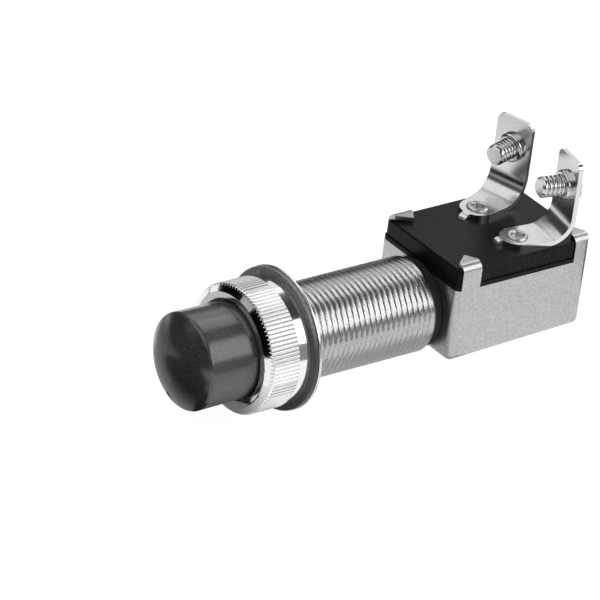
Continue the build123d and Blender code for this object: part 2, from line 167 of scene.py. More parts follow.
class StudioSettings(bpy.types.PropertyGroup):
    """Camera and lights."""

    azimuth: angle("Azimuth", "Camera's direction round the switch, from the button's side", 49.269)
    elevation: angle("Elevation", "Camera's angle above the barrel's axis", 28.869)
    roll: angle("Roll", "Turn of the picture", 7.861)
    distance: length("Distance", "Camera to its point on the barrel's axis", 0.9263)
    field_of_view: angle("Field of view", "Angle across the picture", 5.949)
    aim_along: length("Aim along", "Point on the barrel's axis that camera and lamps go by", 20 * MM)
    picture_offset_x: number("Picture offset across", "Where that point lies across the picture", 0.6297)
    picture_offset_y: number("Picture offset down", "Where that point lies down the picture", 0.5179)
    key_level: number("Key level", "Brightness of the long softbox on the right", 2.2)
    top_level: number("Top level", "Brightness of the softbox high behind the case", 1.9)
    fill_level: number("Fill level", "Brightness of the softbox above the button", 1.0)
    backdrop_level: number("Backdrop level", "Brightness of the backdrop behind the switch", 0.9)
    dim_level: number("Dim level", "Brightness of the rest of the room", 0.07)
    floor_glow: number("Floor glow", "Even brightness of the floor", 0.95)


def sizes():
    """The scene's sizes."""
    return bpy.context.scene.switch_sizes


def colours():
    """The scene's colours."""
    return bpy.context.scene.switch_colours


def studio():
    """The scene's camera and lights."""
    return bpy.context.scene.switch_studio


# Shader nodes written as Python expressions

class Signal:
    """A node's output socket as a value: arithmetic on it adds Math nodes."""

    def __init__(self, nodes, socket):
        self.nodes = nodes
        self.socket = socket

    def maths(self, operation, first, second):
        """Result of a Math node on two values."""
        return self.nodes.add("ShaderNodeMath", {"operation": operation}, {0: first, 1: second})

    def __add__(self, other):
        return self.maths("ADD", self, other)

    def __radd__(self, other):
        return self.maths("ADD", other, self)

    def __sub__(self, other):
        return self.maths("SUBTRACT", self, other)

    def __rsub__(self, other):
        return self.maths("SUBTRACT", other, self)

    def __mul__(self, other):
        return self.maths("MULTIPLY", self, other)

    def __rmul__(self, other):
        return self.maths("MULTIPLY", other, self)

    def __truediv__(self, other):
        return self.maths("DIVIDE", self, other)

    def __rtruediv__(self, other):
        return self.maths("DIVIDE", other, self)

    def __pow__(self, other):
        return self.maths("POWER", self, other)

    def __rpow__(self, other):
        return self.maths("POWER", other, self)


class Nodes:
    """A node tree that is filled one call at a time."""

    def __init__(self, tree):
        self.tree = tree
        tree.nodes.clear()

    def add(self, kind, settings=None, inputs=None, output=0):
        """Adds a node, with its settings first and then the values or links of its sockets."""
        node = self.tree.nodes.new(kind)
        for name, value in (settings or {}).items():
            setattr(node, name, value)
        for name, value in (inputs or {}).items():
            if isinstance(value, Signal):
                self.tree.links.new(value.socket, node.inputs[name])
            else:
                node.inputs[name].default_value = value
        if not node.outputs:
            return None
        return Signal(self, node.outputs[output])

    def fade(self, value, low, high, start=0.0, end=1.0):
        """Value taken smoothly from start at low to end at high."""
        return self.add(
            "ShaderNodeMapRange",
            {"interpolation_type": "SMOOTHSTEP"},
            {"Value": value, "From Min": low, "From Max": high, "To Min": start, "To Max": end},
        )

    def part(self, vector, axis):
        """One of a vector's three numbers."""
        return self.add("ShaderNodeSeparateXYZ", None, {"Vector": vector}, output=axis)


# Places of the colour sockets on a Mix node
MIX_FACTOR = 0
MIX_FIRST = 6
MIX_SECOND = 7
MIX_RESULT = 2


class Finish(Nodes):
    """One material, patterned by its object's own coordinates."""

    def __init__(self, name):
        self.material = bpy.data.materials.new(name)
        self.material.use_nodes = True
        super().__init__(self.material.node_tree)
        self.place = self.add("ShaderNodeTexCoord", output="Object")

    def noise(self, scale, detail=3.0, stretch=None):
        """Grey noise with about so many blotches to the metre, or so many times more along each axis."""
        place = self.place
        if stretch:
            place = self.add("ShaderNodeMapping", None, {"Vector": place, "Scale": stretch})
        inputs = {"Vector": place, "Scale": scale, "Detail": detail}
        return self.add("ShaderNodeTexNoise", None, inputs)

    def flecks(self, scale, low, high, stretch=None):
        """Scattered flecks where a noise is at its highest."""
        return self.fade(self.noise(scale, detail=2.0, stretch=stretch), low, high)

    def mix(self, factor, first, second):
        """Colour between two colours."""
        inputs = {MIX_FACTOR: factor, MIX_FIRST: first, MIX_SECOND: second}
        return self.add("ShaderNodeMix", {"data_type": "RGBA"}, inputs, output=MIX_RESULT)

    def clouded(self, pattern, tint, dark, light):
        """Tint that a pattern takes from darker to lighter."""
        return self.mix(pattern, rgba(tint, dark), rgba(tint, light))

    def mottled(self, tone, pattern, low, high, depth):
        """Colour made darker where a pattern is low and lighter where it is high."""
        spots = self.fade(pattern, low, high)
        return self.mix(spots, self.shaded(tone, 1 - depth), self.shaded(tone, 1 + depth))

    def shaded(self, tone, level):
        """Colour made lighter or darker."""
        return self.add("ShaderNodeVectorMath", {"operation": "SCALE"}, {0: tone, "Scale": level})

    def radius(self):
        """Distance from the barrel's axis."""
        inputs = {0: self.place, 1: (1.0, 0.0, 1.0)}
        flat = self.add("ShaderNodeVectorMath", {"operation": "MULTIPLY"}, inputs)
        return self.add("ShaderNodeVectorMath", {"operation": "LENGTH"}, {0: flat}, output="Value")

    def bump(self, height, strength, distance):
        """Normal from a height signal."""
        inputs = {"Height": height, "Strength": strength, "Distance": distance}
        return self.add("ShaderNodeBump", None, inputs)

    def surface(self, **inputs):
        """The shader itself, with its sockets named by underscored words."""
        named = {}
        for words, value in inputs.items():
            socket = words.replace("_", " ").title().replace("Ior", "IOR")
            named[socket] = value
        shader = self.add("ShaderNodeBsdfPrincipled", None, named)
        self.add("ShaderNodeOutputMaterial", None, {"Surface": shader})
        return self.material


def rgba(tint, gain):
    """A colour property as four numbers, made lighter or darker."""
    return tuple(min(1.0, part * gain) for part in tint) + (1.0,)


def grey(level):
    """A plain grey as four numbers."""
    return (level, level, level, 1.0)


def swing(pattern, amount):
    """A noise's swing about its middle, made larger or smaller."""
    return amount * (pattern - 0.5)


# Finishes

def plated(name, tint, roughness, mottle=0.08, worn=None):
    """Plated metal with clouded, mottled gloss and dull specks.

    Wear dulls it between the two radii of worn.
    """
    finish = Finish(name)
    cloud = finish.noise(260.0, detail=4.0)
    blotch = finish.noise(3200.0)
    marks = finish.noise(3800.0)
    specks = finish.flecks(5200.0, low=0.66, high=0.74)
    tone = finish.clouded(cloud, tint, dark=0.92, light=1.08)
    tone = finish.mottled(tone, blotch, low=0.3, high=0.7, depth=mottle)
    tone = finish.mix(0.35 * specks, tone, rgba(tint, 0.55))
    gloss = roughness * (1 + swing(cloud, 0.4) + swing(marks, 0.3)) + 0.08 * specks
    if worn:
        gloss = gloss + finish.fade(finish.radius(), worn[0], worn[1], end=0.34)
    normal = finish.bump(marks, strength=0.06, distance=0.02 * MM)
    return finish.surface(base_color=tone, metallic=1.0, roughness=gloss, normal=normal)


def rubber(name, tint, roughness, grain_size, ior=1.5, painted_lit_top=None):
    """Moulded rubber with a fine grained skin, faint wear and specks.

    Painted light makes it lighter upwards, between the two heights given.
    """
    finish = Finish(name)
    skin = finish.noise(1.0 / grain_size, detail=4.0)
    cloud = finish.noise(180.0)
    specks = finish.flecks(3400.0, low=0.66, high=0.76)
    tone = finish.clouded(cloud, tint, dark=0.8, light=1.2)
    if painted_lit_top:
        # painted light: lighter towards the top, where the light falls on it
        painted_light = finish.fade(finish.part(finish.place, "Z"), painted_lit_top[0], painted_lit_top[1])
        tone = finish.mix(painted_light, tone, rgba(tint, 3.2))
    tone = finish.mottled(tone, skin, low=0.3, high=0.7, depth=0.45)
    tone = finish.mix(0.12 * specks, tone, grey(0.45))
    gloss = roughness + swing(cloud, 0.06) + swing(skin, 0.08) + 0.15 * specks
    normal = finish.bump(skin, strength=0.2, distance=0.03 * MM)
    return finish.surface(base_color=tone, roughness=gloss, ior=ior, normal=normal)


def moulding(name, tint, roughness):
    """Hard black moulding, polished by its mould, with flow marks and fine scratches."""
    finish = Finish(name)
    flow = finish.noise(140.0, detail=5.0, stretch=(1.0, 2.2, 1.0))
    skin = finish.noise(2200.0)
    scratch = finish.flecks(900.0, low=0.64, high=0.7, stretch=(1.0, 14.0, 1.0))
    tone = finish.clouded(flow, tint, dark=0.8, light=1.3)
    tone = finish.mottled(tone, skin, low=0.35, high=0.65, depth=0.7)
    gloss = roughness + swing(flow, 0.1) + swing(skin, 0.08) + 0.06 * scratch
    normal = finish.bump(skin, strength=0.2, distance=0.03 * MM)
    return finish.surface(base_color=tone, roughness=gloss, specular_ior_level=0.1, normal=normal)


def turned_brass(name, tint, roughness):
    """Bare metal with the rings that turning leaves."""
    finish = Finish(name)
    rings = finish.noise(900.0, stretch=(0.05, 6.0, 0.05))
    cloud = finish.noise(220.0)
    tone = finish.clouded(cloud, tint, dark=0.8, light=1.1)
    gloss = roughness + swing(rings, 0.2) + swing(cloud, 0.1)
    normal = finish.bump(rings, strength=0.2, distance=0.02 * MM)
    return finish.surface(base_color=tone, metallic=1.0, roughness=gloss, normal=normal)


def floor_paper(name, glow):
    """Matt paper that shows white to the eye and to shiny metal, and keeps a soft shadow."""
    finish = Finish(name)
    fibres = finish.noise(60.0)
    tone = finish.mix(fibres, grey(0.19), grey(0.21))
    seen = finish.add("ShaderNodeLightPath", output="Is Camera Ray")
    seen = seen + finish.add("ShaderNodeLightPath", output="Is Glossy Ray")
    seen = seen + finish.add("ShaderNodeLightPath", output="Is Transmission Ray")
    white = finish.mix(seen, grey(0.0), grey(1.0))
    return finish.surface(base_color=tone, roughness=0.9, emission_color=white, emission_strength=glow)


def card_cloth(name, glow, across=None):
    """Matt cloth of the cards that only reflections show.

    A card that fades goes from grey to white between the two places of across.
    """
    finish = Finish(name)
    weave = finish.noise(3000.0)
    tone = finish.mix(weave, grey(0.002), grey(0.004))
    light = grey(1.0)
    if across:
        side = finish.fade(finish.part(finish.place, "X"), across[0], across[1])
        light = finish.mix(side, grey(0.2), light)
    return finish.surface(
        base_color=tone, roughness=1.0, specular_ior_level=0.0, emission_color=light, emission_strength=glow
    )


# Outlines

def spaced(front, rear, step):
    """Even places from front to rear, both included."""
    count = max(1, round((rear - front) / step))
    return [front + (rear - front) * index / count for index in range(count + 1)]


def rounded_corner(before, corner, after, reach, steps):
    """Points of an outline's corner, rounded over a reach on both sides."""
    corner = Vector(corner)
    start = corner + (Vector(before) - corner).normalized() * reach
    end = corner + (Vector(after) - corner).normalized() * reach
    points = []
    for step in range(steps + 1):
        along = step / steps
        points.append(tuple(start.lerp(corner, along).lerp(corner.lerp(end, along), along)))
    return points


def soften(points, radius, steps=3):
    """Closed outline with each corner rounded, never by more than a third of the shorter side."""
    rounded = []
    for index, corner in enumerate(points):
        before = points[index - 1]
        after = points[(index + 1) % len(points)]
        shorter = min((Vector(end) - Vector(corner)).length for end in (before, after))
        rounded += rounded_corner(before, corner, after, min(radius, shorter / 3), steps)
    return rounded


def divided(points, step, least):
    """Outline with its sloping runs split into short steps beyond a least radius, and at both ends."""
    least_slope = 0.2
    fine = []
    for index, point in enumerate(points):
        fine.append(point)
        start = Vector(point)
        end = Vector(points[(index + 1) % len(points)])
        slopes = abs(end.x - start.x) > least_slope * abs(end.y - start.y)
        if slopes and max(start.x, end.x) > least:
            pieces = round((end - start).length / step)
            for part in range(1, pieces):
                place = start.lerp(end, part / pieces)
                if place.x > least or part in (1, pieces - 1):
                    fine.append(tuple(place))
    return fine


def dome_points(radius, centre, rim, count):
    """Half outline of a dome from its crown to its rim."""
    reaches = [radius * (rim / radius * index / count) for index in range(count + 1)]
    return [(reach, centre - (radius**2 - reach**2) ** 0.5) for reach in reaches]


# Meshes

def lathe(profile, segments, shape=None):
    """Vertices and faces of a closed (radius, y) outline turned about Y.

    Points at radius 0 become poles, and shape can change a radius by its place.
    """
    vertices = []
    columns = []
    for radius, along in profile:
        if radius == 0:
            columns.append([len(vertices)] * segments)
            vertices.append((0.0, along, 0.0))
            continue
        column = []
        for step in range(segments):
            turn = TURN * step / segments
            reach = shape(radius, along, turn) if shape else radius
            column.append(len(vertices))
            vertices.append((reach * cos(turn), along, reach * sin(turn)))
        columns.append(column)
    faces = []
    for index, column in enumerate(columns):
        following = columns[(index + 1) % len(columns)]
        for step in range(segments):
            turned = (step + 1) % segments
            corners = [column[step], column[turned], following[turned], following[step]]
            face = list(dict.fromkeys(corners))
            if len(face) > 2:
                faces.append(face)
    return vertices, faces


def groove_share(position, land):
    """How far a place lies from the middle of its land, and how far into the groove beside it."""
    away = abs(position % 1 - 0.5) * 2
    return away, max(0.0, (away - land) / (1 - land))


def thread(pitch, depth, crest, front, rear, run_out, land, crown):
    """Shape of a thread for lathe: rounded grooves between lands, shallower at both ends.

    The land is a share of the pitch, and the crown is the share of the depth that the land's own curve takes.
    """
    end_depth = 0.35

    def shape(radius, along, turn):
        if radius < crest - CLOSE or not front <= along <= rear:
            return radius
        away, groove = groove_share(along / pitch - turn / TURN, land)
        cut = crown * away**2 + (1 - crown) * (0.5 - 0.5 * cos(pi * groove))
        ends = min(1.0, (along - front) / run_out, (rear - along) / run_out)
        return radius - depth * cut * (end_depth + (1 - end_depth) * ends)

    return shape


def knurl(teeth, depth, crest, front, rear, land, deepening):
    """Shape of straight teeth for lathe: flat lands, and grooves that end at rear.

    The grooves are deepest up to front and lose what is extra over the deepening behind it.
    """
    extra_depth = 2

    def shape(radius, along, turn):
        if along > rear + CLOSE:
            return radius
        groove = groove_share(teeth * turn / TURN + 0.5, land)[1]
        near = min(1.0, max(0.0, 1 - (along - front) / deepening))
        return min(radius, crest - depth * (1 + extra_depth * near) * groove)

    return shape


def box_mesh(width, depth, height):
    """Vertices and faces of a box about the origin."""
    reach = (width / 2, depth / 2, height / 2)
    signs = [(x, y, z) for x in (-1, 1) for y in (-1, 1) for z in (-1, 1)]
    vertices = [tuple(sign * half for sign, half in zip(corner, reach)) for corner in signs]
    faces = [(0, 1, 3, 2), (4, 6, 7, 5), (0, 4, 5, 1), (2, 3, 7, 6), (0, 2, 6, 4), (1, 5, 7, 3)]
    return vertices, faces


def coil(mean, wire, turns, front, rear):
    """Vertices and faces of a wire wound about Y between two planes."""
    turn_steps = 40
    steps = turn_steps * turns
    around = 10
    rise = (rear - front - wire) / turns
    vertices = []
    faces = []
    for step in range(steps + 1):
        turn = TURN * turns * step / steps
        along = front + wire / 2 + rise * turn / TURN
        for side in range(around):
            lean = TURN * side / around
            reach = mean + wire / 2 * cos(lean)
            vertices.append((reach * cos(turn), along + wire / 2 * sin(lean), reach * sin(turn)))
    for step in range(steps):
        for side in range(around):
            here = step * around
            after = here + around
            beside = (side + 1) % around
            faces.append([here + side, here + beside, after + beside, after + side])
    faces.append(list(reversed(range(around))))
    faces.append(list(range(steps * around, (steps + 1) * around)))
    return vertices, faces


# Pieces

def make_piece(name, mesh_data, material, place=None, sharp=40.0):
    """New mesh object with smooth faces, sharp only at steep edges."""
    vertices, faces = mesh_data
    mesh = bpy.data.meshes.new(name)
    mesh.from_pydata(vertices, [], faces)
    mesh.validate()
    mesh.update()
    if place:
        mesh.transform(place)
    outward(mesh)
    piece = add_object(name, mesh, material, sharp)
    even_shading(piece)
    return piece


def add_object(name, mesh, material, sharp):
    """Mesh object in the scene with its finish and its sharp edges."""
    mesh.shade_smooth()
    mesh.set_sharp_from_angle(angle=radians(sharp))
    mesh.materials.clear()
    mesh.materials.append(material)
    piece = bpy.data.objects.new(name, mesh)
    bpy.context.scene.collection.objects.link(piece)
    return piece


def even_shading(piece):
    """Weights a piece's normals by the size of its faces, so that flat ones look flat."""
    weigh = piece.modifiers.new("Even shading", "WEIGHTED_NORMAL")
    weigh.keep_sharp = True


def eased(name, node, material, width):
    """Copy of a frame node whose cut edges are slightly rounded."""
    cut_angle = 35.0
    flat_angle = 0.4
    shape = bmesh.new()
    shape.from_mesh(frame["nodes"][node].data)
    bmesh.ops.remove_doubles(shape, verts=shape.verts[:], dist=CLOSE)
    bmesh.ops.dissolve_limit(
        shape, angle_limit=radians(flat_angle), verts=shape.verts[:], edges=shape.edges[:]
    )
    mesh = bpy.data.meshes.new(name)
    shape.to_mesh(mesh)
    shape.free()
    piece = add_object(name, mesh, material, cut_angle)
    edge = piece.modifiers.new("Eased edges", "BEVEL")
    edge.limit_method = "ANGLE"
    edge.angle_limit = radians(cut_angle)
    edge.width = width
    edge.segments = 2
    even_shading(piece)
    return piece


def carve(piece, cutter):
    """Cuts one piece out of another and throws the cutter away."""
    cut = piece.modifiers.new("Cut", "BOOLEAN")
    cut.operation = "DIFFERENCE"
    cut.solver = "EXACT"
    cut.object = cutter
    bpy.context.view_layer.update()
    evaluated = piece.evaluated_get(bpy.context.evaluated_depsgraph_get())
    solid = bpy.data.meshes.new_from_object(evaluated)
    piece.modifiers.remove(cut)
    piece.data = solid
    bpy.data.objects.remove(cutter)


def outward(mesh):
    """Turns all faces of a closed mesh outwards."""
    volume = 0.0
    for face in mesh.polygons:
        corners = [mesh.vertices[index].co for index in face.vertices]
        for first, second in zip(corners[1:], corners[2:]):
            volume += corners[0].dot(first.cross(second))
    if volume < 0:
        mesh.flip_normals()


def stand_for(piece, node, body):
    """The piece takes a frame node's place on its body."""
    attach(piece, body)
    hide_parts(node)


def dress(nodes, material):
    """Gives frame nodes a finish."""
    for node in nodes:
        for slot in frame["nodes"][node].material_slots:
            slot.material = material


class SWITCH_OT_barrel(bpy.types.Operator):
    """Cut the fine thread on the barrel"""

    bl_idname = "switch.barrel"
    bl_label = "Threaded barrel"

    def execute(self, context):
        size = sizes()
        low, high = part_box("threaded_barrel")
        crest = high.x
        front = low.y
        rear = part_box("barrel_washer")[0].y
        tail = high.y
        chamber = 6.2 * MM
        seat = 9.0 * MM
        spigot = 4.2 * MM
        flare = 4.7 * MM
        bore = 2.05 * MM
        flare_front = tail - 0.6 * MM
        front_bevel = 0.5 * MM
        rear_bevel = 0.4 * MM
        rear_rim = crest - 0.24 * MM
        plain_end = 0.5 * MM
        pitch = size.barrel_pitch
        samples = 18
        start = front + front_bevel
        end = rear - rear_bevel
        outside = [(crest, along) for along in spaced(start, end, pitch / samples)]
        profile = [(chamber, front), (crest - front_bevel, front)] + outside + [
            (rear_rim, rear), (spigot, rear), (spigot, flare_front), (flare, flare_front),
            (flare, tail), (bore, tail), (bore, seat), (chamber, seat),
        ]
        depth = size.barrel_thread_depth
        cut = thread(pitch, depth, crest, start, end - plain_end, run_out=pitch, land=0.82, crown=0.3)
        material = plated("barrel_nickel", colours().barrel, roughness=0.25, mottle=0.13)
        piece = make_piece("barrel_thread", lathe(profile, segments=160, shape=cut), material)
        stand_for(piece, "threaded_barrel", ROOT)
        return {"FINISHED"}


class SWITCH_OT_bezel(bpy.types.Operator):
    """Turn, knurl and chrome the bezel nut"""

    bl_idname = "switch.bezel"
    bl_label = "Bezel nut"

    def execute(self, context):
        size = sizes()
        low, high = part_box("bezel_nut")
        crest = high.x
        front = low.y
        rear = high.y
        skirt_front = crest - 0.32 * MM
        skirt_rear = crest - 0.03 * MM
        knurl_rear = rear - 2.1 * MM
        knurl_front = front + 0.8 * MM
        deepening = 0.5 * MM
        rim = crest - 1.3 * MM
        flange_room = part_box("rubber_boot")[1].x + 0.1 * MM
        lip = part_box("rubber_boot")[1].x - size.boot_flange_width + 0.24 * MM
        lip_face = lip + 0.25 * MM
        lip_front = front + 0.3 * MM
        lip_rear = front + 1.3 * MM
        barrel_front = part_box("threaded_barrel")[0].y
        nut_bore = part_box("threaded_barrel")[1].x + 0.06 * MM
        worn = (crest - 0.12 * MM, crest - 0.02 * MM)
        outline = soften([
            (nut_bore, rear), (skirt_rear, rear), (skirt_front, knurl_rear), (crest, knurl_rear),
            (crest, knurl_front + deepening), (crest, knurl_front), (rim, front), (lip_face, front),
            (lip, lip_front), (lip, lip_rear),
            (flange_room, lip_rear), (flange_room, barrel_front), (nut_bore, barrel_front),
        ], size.turned_edge)
        outline = divided(outline, step=0.06 * MM, least=crest - 0.5 * MM)
        teeth = size.knurl_teeth
        tooth_segments = 10
        cut = knurl(teeth, size.knurl_depth, crest, knurl_front, knurl_rear, land=0.55, deepening=deepening)
        material = plated("bezel_chrome", colours().chrome, roughness=0.09, mottle=0.03, worn=worn)
        piece = make_piece("bezel_knurl", lathe(outline, tooth_segments * teeth, shape=cut), material)
        stand_for(piece, "bezel_nut", ROOT)
        return {"FINISHED"}


class SWITCH_OT_rings(bpy.types.Operator):
    """Finish the gasket, the washers and the fibre rings"""

    bl_idname = "switch.rings"
    bl_label = "Gasket and washers"

    def execute(self, context):
        edge = sizes().turned_edge
        # painted light: the gasket's upper part is made lighter, where the light falls
        painted_lit_top = (2.0 * MM, 9.0 * MM)
        gasket = rubber("gasket_rubber", colours().gasket, roughness=0.38, grain_size=0.3 * MM, painted_lit_top=painted_lit_top)
        plate = plated("washer_plate", colours().nickel, roughness=0.22)
        fibre = rubber("pressed_fibre", colours().fibre, roughness=0.65, grain_size=0.2 * MM)
        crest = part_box("threaded_barrel")[1].x
        rings = (
            ("panel_gasket", "gasket_ring", crest + 0.1 * MM, 3 * edge, gasket, "gasket_rubber"),
            ("panel_washer", "washer_ring", crest + 0.12 * MM, 1.5 * edge, plate, "washer_plate"),
            ("barrel_washer", "fibre_ring", 4.3 * MM, 2 * edge, fibre, "fibre_black"),
        )
        for node, name, inner, rounding, material, slot in rings:
            low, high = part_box(node)
            outline = [(inner, low.y), (high.x, low.y), (high.x, high.y), (inner, high.y)]
            outline = soften(outline, rounding, steps=5)
            piece = make_piece(name, lathe(outline, segments=144), material, sharp=50.0)
            stand_for(piece, node, ROOT)
        dress(["stop_washer"], fibre)
        return {"FINISHED"}


class SWITCH_OT_boot(bpy.types.Operator):
    """Mould the rubber boot, which stays in the bezel nut"""

    bl_idname = "switch.boot"
    bl_label = "Rubber boot"

    def execute(self, context):
        size = sizes()
        low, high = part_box("rubber_boot")
        apex = low.y
        rear = high.y
        flange = high.x
        flange_front = rear - size.boot_flange_thickness
        base = flange - size.boot_flange_width
        shoulder = base + size.boot_flare
        dome = (shoulder**2 + size.boot_dome_height**2) / (2 * size.boot_dome_height)
        centre = apex + dome
        bore = base - size.boot_side_wall
        outside = dome_points(dome, centre, shoulder, count=26)
        inside = dome_points(dome - size.boot_top_wall, centre, bore, count=16)
        side_foot = (base, flange_front)
        rim = rounded_corner(outside[-2], outside[-1], side_foot, size.boot_shoulder_radius, steps=8)
        slope = (rim[-1][0] - base) / (rim[-1][1] - flange_front)
        side = [
            (base + slope * (along - flange_front), along)
            for along in spaced(rim[-1][1], flange_front, step=0.3 * MM)
        ]
        foot = [(flange, flange_front), (flange, rear), (bore, rear)]
        wall = [(bore, along) for along in spaced(rear, inside[-1][1], step=0.5 * MM)]
        profile = outside[:-1] + rim + side[1:] + foot + wall[1:] + inside[-2::-1]
        material = rubber("boot_rubber", colours().boot, roughness=0.2, grain_size=0.22 * MM, ior=1.7)
        piece = make_piece("button_boot", lathe(profile, segments=144), material, sharp=60.0)
        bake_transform(piece)
        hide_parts("rubber_boot")
        return {"FINISHED"}


class SWITCH_OT_case(bpy.types.Operator):
    """Fold and plate the sheet-metal case"""

    bl_idname = "switch.case"
    bl_label = "Case"

    def execute(self, context):
        material = plated("case_zinc", colours().zinc, roughness=0.3, mottle=0.14)
        piece = eased("case_cup", "switch_case", material, sizes().stamped_edge)
        stand_for(piece, "switch_case", ROOT)
        return {"FINISHED"}


class SWITCH_OT_board(bpy.types.Operator):
    """Mould the terminal board"""

    bl_idname = "switch.board"
    bl_label = "Terminal board"

    def execute(self, context):
        material = moulding("board_moulding", colours().moulding, roughness=0.3)
        piece = eased("board_block", "terminal_board", material, sizes().moulded_edge)
        stand_for(piece, "terminal_board", ROOT)
        return {"FINISHED"}


class SWITCH_OT_terminals(bpy.types.Operator):
    """Bend the terminals and roll the eyelets that hold them"""

    bl_idname = "switch.terminals"
    bl_label = "Terminals and rivets"

    def execute(self, context):
        leaf = plated("terminal_nickel", colours().nickel, roughness=0.2, mottle=0.05)
        roll = plated("rivet_nickel", colours().nickel, roughness=0.34, mottle=0.04)
        for side in ("left", "right"):
            piece = eased("leaf_" + side, "terminal_" + side, leaf, sizes().stamped_edge)
            stand_for(piece, "terminal_" + side, ROOT)
            eyelet = "contact_rivet_" + side
            turned = lathe(eyelet_outline(eyelet), segments=64)
            piece = make_piece("eyelet_" + side, turned, roll, upright(eyelet), sharp=50.0)
            stand_for(piece, eyelet, ROOT)
        return {"FINISHED"}


def eyelet_outline(node):
    """Half outline of an eyelet about its axis, from its inner head to its rolled rim."""
    low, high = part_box(node)
    head = (high.x - low.x) / 2
    head_rear = low.z + 0.6 * MM
    shank = 1.5 * MM
    bore = 1.0 * MM
    flare = 1.8 * MM
    roll_height = 0.4 * MM
    rim = high.z - roll_height
    floor = high.z - 0.8 * MM
    middle = (flare + bore) / 2
    roll_reach = (flare - bore) / 2
    steps = 12
    turns = [pi * step / steps for step in range(steps + 1)]
    roll = [(middle + roll_reach * cos(turn), rim + roll_height * sin(turn)) for turn in turns]
    inner_head = [(0.0, low.z), (head, low.z), (head, head_rear), (shank, head_rear), (shank, rim)]
    return inner_head + roll + [(bore, floor), (0.0, floor)]


def upright(node):
    """Turns a lathed piece's axis up and puts it where a node stands."""
    low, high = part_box(node)
    middle = (low + high) / 2
    return Matrix.Translation((middle.x, middle.y, 0)) @ Matrix.Rotation(pi / 2, 4, "X")


class SWITCH_OT_screws(bpy.types.Operator):
    """Cut the terminal screws' threads and slotted heads"""

    bl_idname = "switch.screws"
    bl_label = "Terminal screws"

    def execute(self, context):
        size = sizes()
        slot_length = 7.0 * MM
        slot_reach = 1.0 * MM
        material = plated("screw_nickel", colours().screw, roughness=0.2, mottle=0.04)
        mounts = {mount["name"]: mount for mount in frame["record"]["mounts"]}
        for side in ("left", "right"):
            mount = mounts["wire_screw_" + side]
            yaw = atan2(-mount["axis"][0], mount["axis"][1])
            place = Matrix.Translation(mount["pos_m"]) @ Matrix.Rotation(yaw, 4, "Z")
            piece = make_piece("screw_" + side, screw_mesh(size), material)
            cutter = box_mesh(slot_length, slot_reach, size.screw_slot_width)
            slot = make_piece("slot_cutter", cutter, material)
            slot.location = (0, size.screw_head_height, 0)
            carve(piece, slot)
            piece.data.transform(place)
            stand_for(piece, "terminal_screw_" + side, ROOT)
        return {"FINISHED"}


def screw_mesh(size):
    """Screw along Y with its head's seat at the origin, its head towards +Y."""
    crest = 1.75 * MM
    tip = -5.7 * MM
    bevel = 0.35 * MM
    head = 2.9 * MM
    head_side = 0.45 * MM
    head_top = size.screw_head_height
    crown_reach = 0.8 * MM
    thread_front = tip + bevel
    thread_end = -1.8 * MM
    pitch = size.screw_pitch
    samples = 16
    steps = 6
    shank = [(crest, along) for along in spaced(thread_front, thread_end, pitch / samples)]
    turns = [pi / 2 * step / steps for step in range(steps + 1)]
    crown = [
        (head - crown_reach * (1 - cos(turn)), head_side + (head_top - head_side) * sin(turn))
        for turn in turns
    ]
    profile = [(0.0, tip), (crest - bevel, tip)] + shank + [(crest, 0.0), (head, 0.0)]
    profile += crown + [(0.0, head_top)]
    depth = size.screw_thread_depth
    cut = thread(pitch, depth, crest, thread_front, thread_end, run_out=pitch / 2, land=0.4, crown=0.3)
    return lathe(profile, segments=120, shape=cut)


class SWITCH_OT_mechanism(bpy.types.Operator):
    """Finish the plunger, the sliding contact and the springs inside"""

    bl_idname = "switch.mechanism"
    bl_label = "Mechanism"

    def execute(self, context):
        tints = colours()
        brass = turned_brass("plunger_brass", tints.brass, roughness=0.25)
        piece = eased("plunger_rod", "plunger", brass, sizes().turned_edge)
        stand_for(piece, "plunger", BUTTON)
        dress(["contact_bridge"], plated("bridge_metal", tints.brass, roughness=0.22))
        dress(["contact_spring", "retaining_clip"], plated("spring_steel", tints.steel, roughness=0.3))
        dress(["contact_carrier"], moulding("carrier_moulding", tints.fibre, roughness=0.4))
        low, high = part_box("return_spring")
        wire = 0.9 * MM
        wound = coil(high.x - wire / 2, wire, turns=7, front=low.y, rear=high.y)
        piece = make_piece("return_coil", wound, plated("coil_steel", tints.steel, roughness=0.3))
        stand_for(piece, "return_spring", ROOT)
        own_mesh(piece)
        return {"FINISHED"}


# Stage

class SWITCH_OT_stage(bpy.types.Operator):
    """Set the floor, the lights and the camera"""

    bl_idname = "switch.stage"
    bl_label = "Stage"

    def execute(self, context):
        scene = context.scene
        scene.view_settings.view_transform = "Standard"
        set_floor(studio())
        set_cards()
        set_room(scene, studio())
        set_softboxes(studio())
        scene.camera = set_camera(studio())
        return {"FINISHED"}


def direction(azimuth, elevation):
    """Unit vector away from the switch, its azimuth counted from the button's side."""
    level = cos(elevation)
    return Vector((sin(azimuth) * level, -cos(azimuth) * level, sin(elevation)))


def panel_mesh(name, width, height):
    """Flat rectangle about the origin, facing +Z."""
    half_width = width / 2
    half_height = height / 2
    mesh = bpy.data.meshes.new(name)
    corners = [(-half_width, -half_height, 0), (half_width, -half_height, 0),
               (half_width, half_height, 0), (-half_width, half_height, 0)]
    mesh.from_pydata(corners, [], [(0, 1, 2, 3)])
    panel = bpy.data.objects.new(name, mesh)
    bpy.context.scene.collection.objects.link(panel)
    return panel


def set_floor(settings):
    """Wide paper under the switch."""
    width = 6.0
    floor = panel_mesh("floor", width, width)
    floor.location.z = cad_low.z
    floor.data.materials.append(floor_paper("floor_paper", settings.floor_glow))


